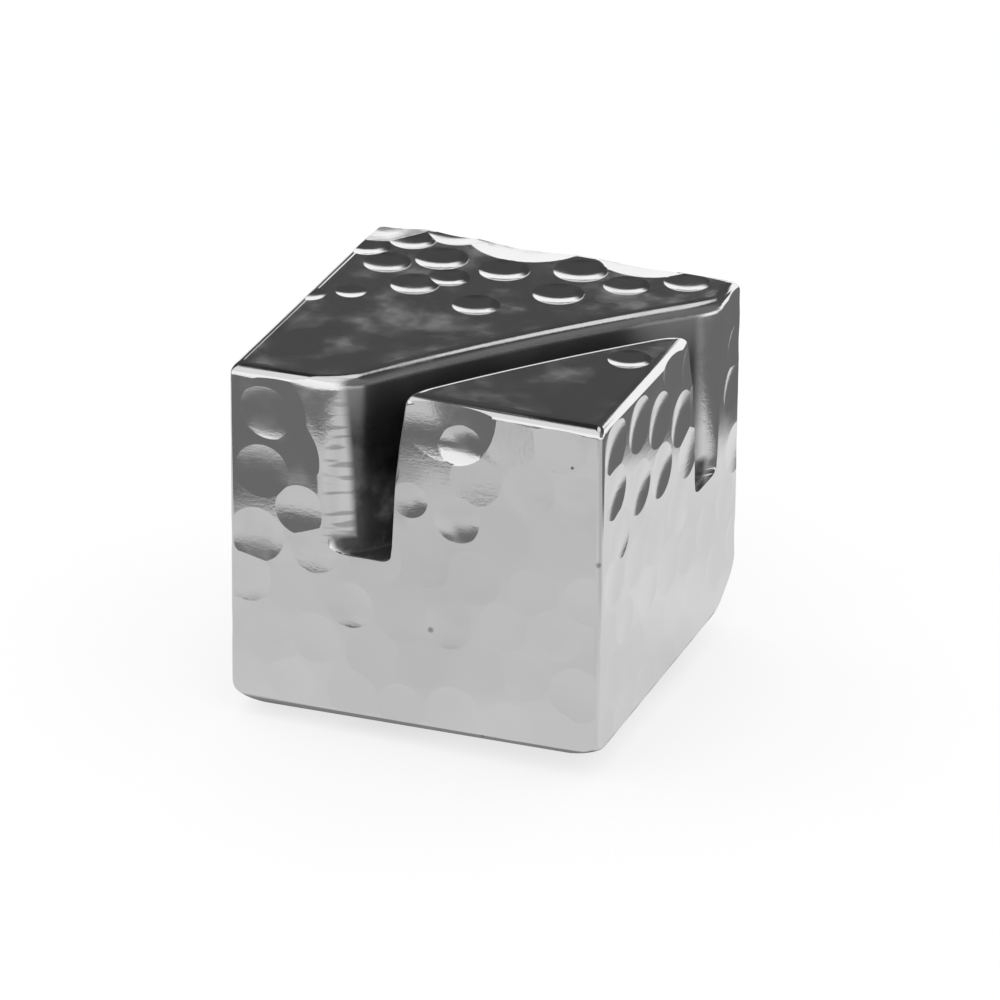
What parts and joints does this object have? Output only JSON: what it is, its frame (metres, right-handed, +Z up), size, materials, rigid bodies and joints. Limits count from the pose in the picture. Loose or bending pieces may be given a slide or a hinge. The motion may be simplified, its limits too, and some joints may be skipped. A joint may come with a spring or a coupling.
{
  "type": "place card holder",
  "caption": "Hammered metal block with a curved slot across one corner that holds a place card upright, on a recessed felt pad.",
  "frame": {"origin": "centre of the footprint, on the surface that the felt pad stands on", "axes": "+Z up, front face at -Y, +X to the right; the card slot runs from the front face to the right face"},
  "size_m": [0.0326, 0.032, 0.0318],
  "materials": {
    "hammered_aluminium": "cast, hammered and polished",
    "adhesive": "matt film",
    "felt": "pressed wool felt"
  },
  "bodies": {
    "root": {"cast_block": "hammered_aluminium", "adhesive_film": "adhesive", "felt_pad": "felt"}
  },
  "joints": []
}
